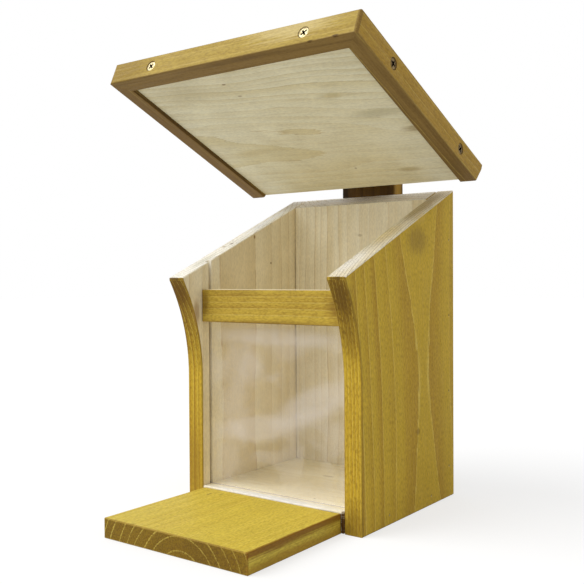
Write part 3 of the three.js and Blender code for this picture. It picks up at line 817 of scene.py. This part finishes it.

# %% Floor
# dark brown of stain that ran, also painted as the shade in the gaps at the box
STAIN_RUN_AND_GAP_SHADE = "#5E3F14"
FLOOR_TRUNK = {"Pith": (0, -10, -90), "Grain": (1, 0.02, 0)}
FLOOR_MARKS = (
    ((-2, 10, 15), (8, 2.6, 3), "#9C875A", 0.6),
    ((28, -52, 15), (1.3, 1.3, 2), "#4E3A20", 0.9),
    ((0, -28, 15), (110, 40, 4), "#C4B284", 0.4),  # handled more towards the window
    ((0, -67, 14), (90, 7, 9), "#F2F1F0", 0.9),  # painted highlight: the strip in front of the window near white
    ((64, -70, 4), (2.6, 4, 26), STAIN_RUN_AND_GAP_SHADE, 1.0),  # painted shade in the gap beside the board
)
floor_wood = timber("Pine, planed, bare: floor", FLOOR_TRUNK, contrast=0.3, marks=FLOOR_MARKS)
board("floor_board", "floor", floor_wood, "box", all_bare, "natural_pine")

# %% Feeding board
TRAY_TRUNK = {
    "Pith": (10, -120, -17),
    "Grain": (0.01, 1, 0),
    "Ring width": 7.5,
    "Wander": 1.2,
}
TRAY_PAINT = {"golden": "#D6C04C", "brown": "#C2A436", "end": "#785A06", "edge": "#AD8E36"}
TRAY_MARKS = (
    ((63.5, -120, 13), (3, 160, 7), "#7C4A00", 0.85),  # soaked sawn side
    ((63.5, -120, 2), (3, 160, 6.5), "#A2761A", 0.7),
    ((52, -70.5, 14), (16, 1.6, 2), STAIN_RUN_AND_GAP_SHADE, 0.8),  # stain that gathered at the box
    # painted shade in the gap at the box's right corner
    ((63, -70.5, 7), (2, 2, 10), STAIN_RUN_AND_GAP_SHADE, 0.9),
    ((-46, -84, 14), (1, 4, 1), STAIN_RUN_AND_GAP_SHADE, 0.6),
    ((-38, -79, 14), (0.8, 3, 1), STAIN_RUN_AND_GAP_SHADE, 0.6),
    ((30, -171, 6), (50, 3, 14), "#6C4E0C", 0.35),  # the end drank more towards the right
)
tray_wood = timber(
    "Pine, planed, honey stain: feeding board",
    TRAY_TRUNK,
    TRAY_PAINT,
    contrast=0.2,
    marks=TRAY_MARKS,
)
board("tray_board", "feeding_board", tray_wood, "box", all_stained, "stained_pine")

# %% [markdown]
# ## Rail and batten
# The rail that holds the window's top is a thin strip, stained only on its face. The batten
# that carries the box is dark brown all round. Its right side is painted lighter as light, and
# its left side near black as the shade under the lid.

# %% Rail
RAIL_TRUNK = {"Pith": (0, 10, 60), "Grain": (1, 0, 0.01), "Ring width": 3.6, "Wander": 0.6}
RAIL_PAINT = {"golden": "#C9AC40", "brown": "#A5822C", "hair": "#D2B85C", "edge": "#A8873A"}
RAIL_BROWN = "#7A5818"
RAIL_MARKS = (
    ((-62, -70, 157), (6, 2, 14), RAIL_BROWN, 0.6),
    ((64, -70, 155), (18, 2, 16), RAIL_BROWN, 0.7),
    ((0, -70, 142), (80, 2, 3), RAIL_BROWN, 0.5),
    ((-30, -70, 165), (34, 2, 5), RAIL_BROWN, 0.3),
)
rail_wood = timber(
    "Pine, planed, honey stain: rail",
    RAIL_TRUNK,
    RAIL_PAINT,
    contrast=0.4,
    streaks=0.35,
    marks=RAIL_MARKS,
)


def rail_coats(normal, place):
    """Bare on top and behind."""
    return 0.0 if normal.dot(UP) > SQUARELY or normal.dot(-FRONT) > MOSTLY else 1.0


board("front_rail", "rail", rail_wood, "box", rail_coats, "stained_pine")

# %% Batten
BATTEN_BROWN = "#664810"
BATTEN_TRUNK = {"Pith": (30, 140, 100), "Grain": (0, 0, 1)}
BATTEN_PAINT = {
    "golden": BATTEN_BROWN,
    "hair": BATTEN_BROWN,
    "brown": "#3E2806",
    "end": "#3A2408",
    "edge": "#7A5C20",
}
BATTEN_MARKS = (
    ((27, 77, 230), (4, 9, 150), "#A47C0C", 0.95),  # painted light: the right side lighter, as light falls on it from the right
    # painted shade: near black on its left, in the gap under the lid
    ((-26, 72, 250), (14, 8, 60), "#120A02", 0.8),
)
batten_wood = timber(
    "Pine, sawn, brown stain: batten",
    BATTEN_TRUNK,
    BATTEN_PAINT,
    contrast=0.6,
    marks=BATTEN_MARKS,
)
board("wall_batten", "batten", batten_wood, "box", all_stained, "stained_pine")

# %% [markdown]
# ## Lid
# A broad panel, bare below and stained above, is framed by three mitred bars that are stained
# all round and soaked brown below. All four are described in the lid's own seat, so their grain
# tilts with the lid.

# %% Lid panel
UNDERSIDE = -17.4  # mm, Z of the panel's bare face in the lid's seat
LID_PANEL_TRUNK = {
    "Pith": (0, -78, 120),
    "Grain": (1, 0.1, 0.03),
    "Ring width": 3.6,
    "Wander": 2.2,
    "Ragged": 0.6,
}
LID_PANEL_PAINT = {"pale": "#F2ECCE", "tan": "#E2D4A0", "streak": "#D0BC7E", "line": "#B99F66"}
LID_PANEL_MARKS = (
    ((-56, -80, UNDERSIDE), (32, 6, 5), "#D2C088", 0.45),
    ((-60, -165, UNDERSIDE), (44, 20, 5), "#C9BC94", 0.4),
    ((94, -86, UNDERSIDE), (15, 6, 5), "#A78E56", 0.65),  # trace of a knot at the right bar
    ((62, -32, UNDERSIDE), (14, 5, 5), "#B59F66", 0.5),
    ((76, -110, UNDERSIDE), (30, 8, 5), "#A0966A", 0.35),
    ((54, -137, UNDERSIDE), (11, 5, 5), "#CDB978", 0.4),
    ((-19, -168.5, UNDERSIDE), (2.2, 1.3, 2), "#8A6C3E", 0.7),
    ((-16, -153, UNDERSIDE), (2.5, 1.3, 2), "#9C7F50", 0.6),
    ((18, -41, UNDERSIDE), (1.6, 1.2, 2), "#8A6640", 0.7),
    ((74, -184, UNDERSIDE), (12, 2.2, 3), "#5C3E22", 0.7),  # glue and stain at the front bar
)
lid_panel_wood = timber(
    "Pine, planed: lid panel",
    LID_PANEL_TRUNK,
    LID_PANEL_PAINT,
    contrast=0.65,
    streaks=0.18,
    seat=LID_SEAT,
    marks=LID_PANEL_MARKS,
)


def lid_panel_coats(normal, place):
    """Bare below."""
    return 0.0 if normal.dot(-LID_UP) > MOSTLY else 1.0


board("lid_panel", "lid_board", lid_panel_wood, "lid", lid_panel_coats, "natural_pine")

# %% Wood of the front bar
BAR_PAINT = {
    "golden": "#B89E46",
    "brown": "#A2823A",
    "end": "#9A7A38",
    "hair": "#C6AC5A",
    "edge": "#8A6E36",
}
BAR_CHIP = "#5A4014"
FRONT_BAR_TRUNK = {"Pith": (0, -190, -120), "Grain": (1, 0, 0.012), "Ring width": 8.0}
FRONT_BAR_MARKS = (
    ((75, -197, -20), (3, 2, 1.5), BAR_CHIP, 0.9),
    ((94, -197, -20), (3, 2, 1.3), BAR_CHIP, 0.9),
    ((-100, -197, -12), (46, 3, 15), "#8C6E20", 0.6),
    ((55, -197, -6), (50, 3, 12), "#DCC88C", 0.6),
)
front_bar_wood = timber(
    "Pine, planed, honey stain: front bar",
    FRONT_BAR_TRUNK,
    BAR_PAINT,
    contrast=0.2,
    streaks=0.12,
    seat=LID_SEAT,
    marks=FRONT_BAR_MARKS,
)

# %% Wood of the side bars
SIDE_BAR_TRUNK = {"Pith": (0, -100, -170), "Grain": (0, 1, 0.01), "Ring width": 6.0}
SIDE_BAR_PAINT = {**BAR_PAINT, "golden": "#B28E32", "brown": "#9A7428", "end": "#8A6028"}
# painted shade: the dark brown of the gap where the side bars meet the panel
GAP_SHADE_BROWN = "#4A3314"
SIDE_BAR_MARKS = (
    ((-96, -100, -19), (1.2, 170, 2.4), GAP_SHADE_BROWN, 0.85),  # painted shade of the gap along the panel
    ((96, -100, -19), (1.2, 170, 2.4), GAP_SHADE_BROWN, 0.85),
    ((-103, -100, -20.4), (10, 170, 3), "#78592A", 0.5),
    # painted shade on the left bar's rear end
    ((-103, -6, -12), (10, 9, 16), "#4E3816", 0.8),
)
side_bar_wood = timber(
    "Pine, planed, honey stain: side bars",
    SIDE_BAR_TRUNK,
    SIDE_BAR_PAINT,
    contrast=0.25,
    streaks=0.12,
    seat=LID_SEAT,
    marks=SIDE_BAR_MARKS,
)

# %% Round an outer corner of the lid's frame
CORNER_RADIUS = 2.5 * MM
CORNER_STEPS = 4  # steps of the quarter turn


def rounded_corner(bm, along, across):
    """Rounds the corner that lies furthest along two directions, by a few planes off it."""
    reach = [max(v.co.dot(way) for v in bm.verts) - CORNER_RADIUS for way in (along, across)]
    for step in range(1, CORNER_STEPS):
        turn = math.pi / 2 * step / CORNER_STEPS
        normal = along * math.cos(turn) + across * math.sin(turn)
        on_arc = along * reach[0] + across * reach[1] + normal * CORNER_RADIUS
        plane = {"plane_co": on_arc, "plane_no": normal, "clear_outer": True}
        whole = bm.verts[:] + bm.edges[:] + bm.faces[:]
        sliced = bmesh.ops.bisect_plane(bm, geom=whole, **plane)["geom_cut"]
        rim = [e for e in sliced if isinstance(e, bmesh.types.BMEdge)]
        bmesh.ops.holes_fill(bm, edges=rim)


print("corner radius", CORNER_RADIUS / MM, "mm")

# %% Bars of the lid's frame
MITRE_GAP = 0.4 * MM
STRAIGHT = 0.99  # least share of a face's direction that counts as exactly that way


def front_bar_shape(bm):
    for outward in (RIGHT, -RIGHT):
        rounded_corner(bm, outward, -LID_BACK)


def side_bar_shape(outward):
    """Closes the glued mitre on the front bar and rounds both outer corners."""

    def shape(bm):
        mitre = (-outward - LID_BACK).normalized()
        glued = {v for f in bm.faces if f.normal.dot(mitre) > STRAIGHT for v in f.verts}
        bmesh.ops.translate(bm, vec=-LID_BACK * MITRE_GAP, verts=list(glued))
        for end in (-LID_BACK, LID_BACK):
            rounded_corner(bm, outward, end)

    return shape


def bar_coats(normal, place):
    """Soaked below, and on the side that meets the panel, where the soaked brown also paints the
    shade of the gap.
    """
    towards_middle = -math.copysign(1, place.x) * normal.x > MOSTLY
    inward = towards_middle or normal.dot(LID_BACK) > MOSTLY
    return 2.0 if normal.dot(-LID_UP) > MOSTLY or inward else 1.0


for side, wood, shape in (
    ("front", front_bar_wood, front_bar_shape),
    ("left", side_bar_wood, side_bar_shape(-RIGHT)),
    ("right", side_bar_wood, side_bar_shape(RIGHT)),
):
    node, name = f"lid_bar_{side}", f"lid_{side}_bar"
    board(node, name, wood, "lid", bar_coats, "stained_pine", shape=shape)

# %% [markdown]
# ## Window
# The window is a clear acrylic sheet that slides in the grooves. Clean acrylic is nearly
# invisible, so what shows is its haze: a thin milky film of dust and fine scratches, and its
# sawn edges, which gather light. The film is a pale surface that lets most light pass. Only
# the camera sees it, so that it doesn't shade the box behind the sheet.

# %% Haze on the sheet
CLOUD = 30.0  # mm across one cloud of dust
CLOUD_STIR = 0.8
CLOUD_HAZE = {"From Min": 0.42, "From Max": 0.6, "To Min": 0.04, "To Max": 0.11}
SMEAR_FRAY = 0.8
SMEAR_RIM = (1.4, 0.8)  # shares of a smear's reach, where it ends and where it is full
SMEARS = (  # place and reach in mm, tilt, and share of light that a wiped band scatters
    ((-22, -61, 62), (54, 10, 12), math.radians(-8), 0.12),
    ((32, -61, 83), (48, 10, 15), math.radians(-26), 0.13),
    ((0, -61, 132), (75, 10, 9), 0.0, 0.1),
    ((-25, -61, 108), (16, 10, 20), math.radians(20), 0.06),
)

acrylic, tree = new_material("Acrylic sheet, extruded, lightly hazed")
where = add(tree, "ShaderNodeTexCoord", {}).node.outputs
place = {"Vector": where["Object"], "Scale": (MM, MM, MM)}
place = add(tree, MAPPING, place, vector_type="TEXTURE")
cloud = {"Vector": place, "Scale": 1 / CLOUD, "Detail": 3.0, "Distortion": CLOUD_STIR}
cloud = add(tree, NOISE, cloud)
haze = add(tree, RANGE, {"Value": cloud, **CLOUD_HAZE}, interpolation_type="SMOOTHSTEP")
fray = (cloud, SMEAR_FRAY)
for at, reach, tilt, share in SMEARS:
    smear = spot_share(tree, place, at, reach, share, fray, SMEAR_RIM, tilt)
    haze = add(tree, MATH, {0: haze, 1: smear}, operation="ADD")
print("smears on the sheet:", len(SMEARS))

# %% Acrylic
HAZE = linear("#F2ECEA")
EDGE_TINT = linear("#A9A3B8")
EDGE_FILM = {"From Min": 0.9, "From Max": 0.5, "To Max": 0.6}  # share, on the sawn edges alone
SHEET_ROUGHNESS = {"To Min": 0.05, "To Max": 0.2}
ACRYLIC_IOR = 1.49

across_sheet = {0: where["Normal"], 1: (0, 1, 0)}
across_sheet = add(tree, VECTOR, across_sheet, out="Value", operation="DOT_PRODUCT")
on_edge = add(tree, MATH, {0: across_sheet}, operation="ABSOLUTE")
on_edge = add(tree, RANGE, {"Value": on_edge, **EDGE_FILM})
film = add(tree, MATH, {0: haze, 1: on_edge}, operation="MAXIMUM")
looked_at = add(tree, "ShaderNodeLightPath", {}, out="Is Camera Ray")
film = add(tree, MATH, {0: film, 1: looked_at}, operation="MULTIPLY")
tint = add(tree, MIX, {0: on_edge, 6: HAZE, 7: EDGE_TINT}, out=MIXED, data_type="RGBA")
rough = add(tree, RANGE, {"Value": cloud, **SHEET_ROUGHNESS})
surface = {"Base Color": tint, "Roughness": rough, "Alpha": film, "IOR": ACRYLIC_IOR}
surface = add(tree, PRINCIPLED, surface)
add(tree, "ShaderNodeOutputMaterial", {"Surface": surface})
sheet = welded_copy("window_pane")
new_piece("window_pane", "window", sheet, acrylic, "window", "clear_sheet")

# %% [markdown]
# ## Screws and brads
# The bars are screwed on with countersunk screws with a cross recess, and brads hold the back
# and the floor. Each is turned from one circle: the rim is pulled out and down along the
# profile of a screw, ring by ring, and the cross is pressed into the middle of the head. Where
# a screw sits and how big it is are measured on its imported solid.

# %% Plated metal
# grime, and painted shade that keeps the recesses dark
GRIME_AND_RECESS_SHADE = linear("#2E2619")
SCUFF = 1.5  # mm across one dull patch
GRIMY_SHADED_METAL = 0.2  # how metallic a recess still is under its grime and painted shade
DENTS = {"Strength": 0.2, "Distance": 0.05 * MM}


def plated(name, bright, dull, rough=(0.35, 0.55)):
    """A thin plating: bright where it was rubbed, duller between, with grime and painted shade in
    the recesses.
    """
    material, tree = new_material(name)
    where = add(tree, "ShaderNodeTexCoord", {}, out="Object")
    place = {"Vector": where, "Scale": (MM, MM, MM)}
    place = add(tree, MAPPING, place, vector_type="TEXTURE")
    scuff = add(tree, NOISE, {"Vector": place, "Scale": 1 / SCUFF, "Detail": 3.0})
    scuff = {"Value": scuff, "From Min": USUAL_NOISE[0], "From Max": USUAL_NOISE[1]}
    scuff = add(tree, RANGE, scuff)
    sunk = add(tree, ATTRIBUTE, {}, out="Fac", attribute_name="sunk")
    colour = laid_over(tree, linear(bright), ((scuff, linear(dull)), (sunk, GRIME_AND_RECESS_SHADE)))
    metallic = add(tree, RANGE, {"Value": sunk, "To Min": 1.0, "To Max": GRIMY_SHADED_METAL})
    rubbed, matt = rough
    polish = add(tree, RANGE, {"Value": scuff, "To Min": rubbed, "To Max": matt})
    dents = add(tree, "ShaderNodeBump", {"Height": scuff, **DENTS})
    surface = {"Base Color": colour, "Metallic": metallic, "Roughness": polish, "Normal": dents}
    surface = add(tree, PRINCIPLED, surface)
    add(tree, "ShaderNodeOutputMaterial", {"Surface": surface})
    print(name, "nodes:", len(tree.nodes))
    return material


# Zinc is a pale warm grey, browned where stain got on it. The brads were stained with the wood.
zinc = plated("Steel, zinc plated", "#D2C8A4", "#A8966A")
smeared_zinc = plated("Steel, zinc plated, smeared with stain", "#8A744A", "#5A4526")
brad_steel = plated("Steel, drawn, stained over", "#B29A4E", "#8E7436")

# %% Measure a fastener
def measured(node, into_wood):
    """Middle of a packed fastener's flat face, its head's radius and its length."""
    corners = {tuple(round(c, 6) for c in v.co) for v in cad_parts[node].data.vertices}
    corners = [Vector(corner) for corner in corners]
    nearest = min(corner.dot(into_wood) for corner in corners)
    face = [corner for corner in corners if corner.dot(into_wood) < nearest + WELD]
    centre = sum(face, Vector()) / len(face)
    radius = max((corner - centre).length for corner in face)
    length = max(corner.dot(into_wood) for corner in corners) - nearest
    return centre, radius, length


print("first bar screw", round(measured("lid_screw_1", LID_BACK)[2] / MM, 1), "mm long")

# %% Press a cross into a head
CROSS_REACH = 0.62  # share of the head's radius, as all sizes of a fastener
CROSS_ARM = 0.17
CROSS_DEPTH = 0.42
CROSS_TAPER = 0.6  # share of its width that the cross still has at the bottom


def press_cross(bm, radius):
    """Presses a cross recess into the plane of the head and returns its outline."""
    reach, arm = radius * CROSS_REACH, radius * CROSS_ARM
    grid = bmesh.ops.create_grid(bm, x_segments=3, y_segments=3, size=reach)["verts"]
    for corner in grid:
        for axis in (0, 1):
            if abs(corner.co[axis]) < reach / 2:
                corner.co[axis] = math.copysign(arm, corner.co[axis])
    faces = list({f for corner in grid for f in corner.link_faces})
    outer = [f for f in faces if min(abs(c) for c in f.calc_center_median().xy) > arm]
    bmesh.ops.delete(bm, geom=outer, context="FACES")
    cross = bmesh.ops.dissolve_faces(bm, faces=bm.faces[:])["region"][0]
    outline = list(cross.edges)
    pressed = bmesh.ops.extrude_face_region(bm, geom=[cross])["geom"]
    corners = [v for v in pressed if isinstance(v, bmesh.types.BMVert)]
    bmesh.ops.scale(bm, vec=(CROSS_TAPER, CROSS_TAPER, 1), verts=corners)
    bmesh.ops.translate(bm, vec=(0, 0, -radius * CROSS_DEPTH), verts=corners)
    return outline


print("depth of a cross:", CROSS_DEPTH, "of the head's radius")

# %% Pull the rim down along the profile
HEAD_FLAT = 0.93  # radii and drops along the profile, from the flat of the head to the point
RIM_ROUND = 0.06
RIM = 0.14
SHANK = 0.5
TIP = 0.12
POINT_LENGTH = 2.4


def pull_ring(bm, ring, radius, wanted, down):
    """Pulls a ring of edges down to a new radius and returns the new ring."""
    pulled = bmesh.ops.extrude_edge_only(bm, edges=ring)["geom"]
    corners = [v for v in pulled if isinstance(v, bmesh.types.BMVert)]
    share = wanted / radius
    bmesh.ops.scale(bm, vec=(share, share, 1), verts=corners)
    bmesh.ops.translate(bm, vec=(0, 0, -down), verts=corners)
    return [e for e in pulled if isinstance(e, bmesh.types.BMEdge)]


def pull_profile(bm, ring, radius, shank, length):
    """Pulls the rim of a flat head down to the point and closes it there."""
    cone = radius * (RIM_ROUND + RIM) + radius - shank
    now = radius * HEAD_FLAT
    for wanted, down in (
        (radius, radius * RIM_ROUND),
        (radius, radius * RIM),
        (shank, cone - radius * (RIM_ROUND + RIM)),
        (shank, length - cone - radius * POINT_LENGTH),
        (radius * TIP, radius * POINT_LENGTH),
    ):
        ring = pull_ring(bm, ring, now, wanted, down)
        now = wanted
    bmesh.ops.holes_fill(bm, edges=ring)


print("a screw's point is", POINT_LENGTH, "radii long")

# %% Turn a fastener
SIDES = 28


def fastener(node, name, into_wood, body, metal, turn=0.0, cross=True):
    """A screw, or without the cross a brad, that stands for a packed one."""
    centre, radius, length = measured(node, into_wood)
    shank = radius * SHANK if cross else radius * (1 - RIM_ROUND)
    bm = bmesh.new()
    outline = press_cross(bm, radius) if cross else []
    flat = radius * HEAD_FLAT
    corners = bmesh.ops.create_circle(bm, cap_ends=not cross, segments=SIDES, radius=flat)["verts"]
    ring = list({e for corner in corners for e in corner.link_edges})
    if cross:
        bmesh.ops.bridge_loops(bm, edges=outline + ring)
    pull_profile(bm, ring, radius, shank, length)
    bmesh.ops.remove_doubles(bm, verts=bm.verts, dist=WELD)
    bmesh.ops.recalc_face_normals(bm, faces=bm.faces)
    sunk = bm.faces.layers.float.new("sunk")
    for face in bm.faces:
        middle = face.calc_center_median()
        in_cross = middle.xy.length < radius * CROSS_REACH and middle.z < -WELD
        face[sunk] = float(in_cross and middle.z > -radius * SHANK)
    aim = Vector((0, 0, -1)).rotation_difference(into_wood).to_matrix().to_4x4()
    spun = Matrix.Translation(centre) @ aim @ Matrix.Rotation(turn, 4, "Z")
    bmesh.ops.transform(bm, matrix=spun, verts=bm.verts)
    new_piece(node, name, bm, metal, body, "zinc_steel", flat_sided=False)


print("corners round a head:", SIDES)

# %% Screws and brads in their places
CROSS_TURNS = (0.75, 0.6, 0.2, 1.1, 0.9, 0.35)  # radians, as screws happen to stop
INTO_BARS = (LID_BACK, LID_BACK, RIGHT, RIGHT, -RIGHT, -RIGHT)
for i, (into_wood, turn) in enumerate(zip(INTO_BARS, CROSS_TURNS), start=1):
    metal = zinc if into_wood is LID_BACK else smeared_zinc
    fastener(f"lid_screw_{i}", f"bar_screw_{i}", into_wood, "lid", metal, turn)
for i, turn in enumerate(CROSS_TURNS[:3], start=1):
    fastener(f"batten_screw_{i}", f"wall_screw_{i}", FRONT, "box", zinc, turn)
for i, turn in enumerate(CROSS_TURNS[:2], start=1):
    fastener(f"hinge_screw_batten_{i}", f"leaf_screw_box_{i}", -FRONT, "box", zinc, turn)
    fastener(f"hinge_screw_lid_{i}", f"leaf_screw_lid_{i}", -LID_UP, "lid", zinc, turn)
for side, into_wood in (("left", RIGHT), ("right", -RIGHT)):
    brads = [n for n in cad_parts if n.startswith("brad_" + side)]
    for i, node in enumerate(sorted(brads), start=1):
        fastener(node, f"{side}_brad_{i}", into_wood, "box", brad_steel, cross=False)
    print(side, "brads:", len(brads))

# %% [markdown]
# ## Hinge and dowels
# A plated butt hinge joins the lid to the batten. Its packed leaves already have their rolled
# knuckles, so they only get softened edges. Two beech dowels carry the feeding board.

# %% Hinge
LEAF_ROLL = 0.2 * MM

# Brass plating is yellow and a little smoother than the zinc
brass = plated("Steel, brass plated", "#CDA85C", "#A98445", rough=(0.25, 0.45))
for node, name, body, metal, slot in (
    ("hinge_leaf_batten", "hinge_leaf_on_batten", "box", brass, "hinge_plate"),
    ("hinge_leaf_lid", "hinge_leaf_on_lid", "lid", brass, "hinge_plate"),
    ("hinge_pin", "hinge_pin_steel", "box", zinc, "zinc_steel"),
):
    bm = welded_copy(node)
    roll_over(bm, [e for e in bm.edges if e.calc_face_angle(0) > CORNER], LEAF_ROLL)
    bm.faces.layers.float.new("sunk")
    new_piece(node, name, bm, metal, body, slot)

# %% Dowels
# Beech is pinker than pine, and its fine rings hardly show
DOWEL_TRUNK = {"Pith": (0, -60, -60), "Grain": (0, 1, 0), "Ring width": 1.8, "Wander": 0.3}
BEECH = {"pale": "#E4C9A0", "tan": "#D8B88A", "line": "#B98F62", "streak": "#CFA878"}
beech = timber("Beech, turned, bare", DOWEL_TRUNK, BEECH, contrast=0.6)
for i in (1, 2):
    board(f"tray_dowel_{i}", f"dowel_{i}", beech, "box", all_bare, "dowel_wood")
